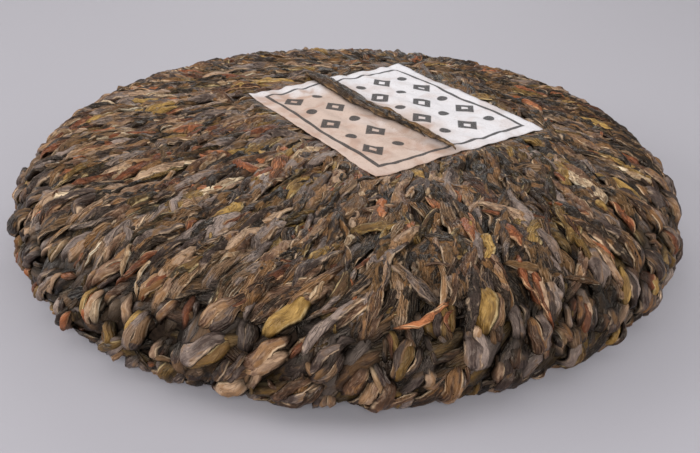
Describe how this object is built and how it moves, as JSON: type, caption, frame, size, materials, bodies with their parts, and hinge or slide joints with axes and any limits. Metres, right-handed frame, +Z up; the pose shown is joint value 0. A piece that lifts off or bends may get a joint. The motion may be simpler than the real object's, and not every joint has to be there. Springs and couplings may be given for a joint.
{
  "type": "braided tea cake",
  "caption": "Round pressed cake of braided tea leaf bundles, radiating on top and folded over the rim, with a paper ticket held under a leaf strand.",
  "frame": {"origin": "centre of the underside, on the surface that the cake lies on", "axes": "+Z up through the cake's middle; +X to the right in the reference view, where the viewer looks along +Y"},
  "size_m": [0.2097, 0.2097, 0.0291],
  "materials": {
    "tea_leaf": "dry rolled tea leaves, dark brown to olive with rust and straw ones among them, faintly glossy",
    "ticket_paper": "thin fibrous paper, matt, tea-stained, with a plain printed border",
    "strand_leaf": "dry twisted tea leaf, dark brown with olive, faintly glossy"
  },
  "bodies": {
    "root": {"tea_cake": "tea_leaf", "paper_ticket": "ticket_paper", "pressed_strand": "strand_leaf"}
  },
  "joints": []
}
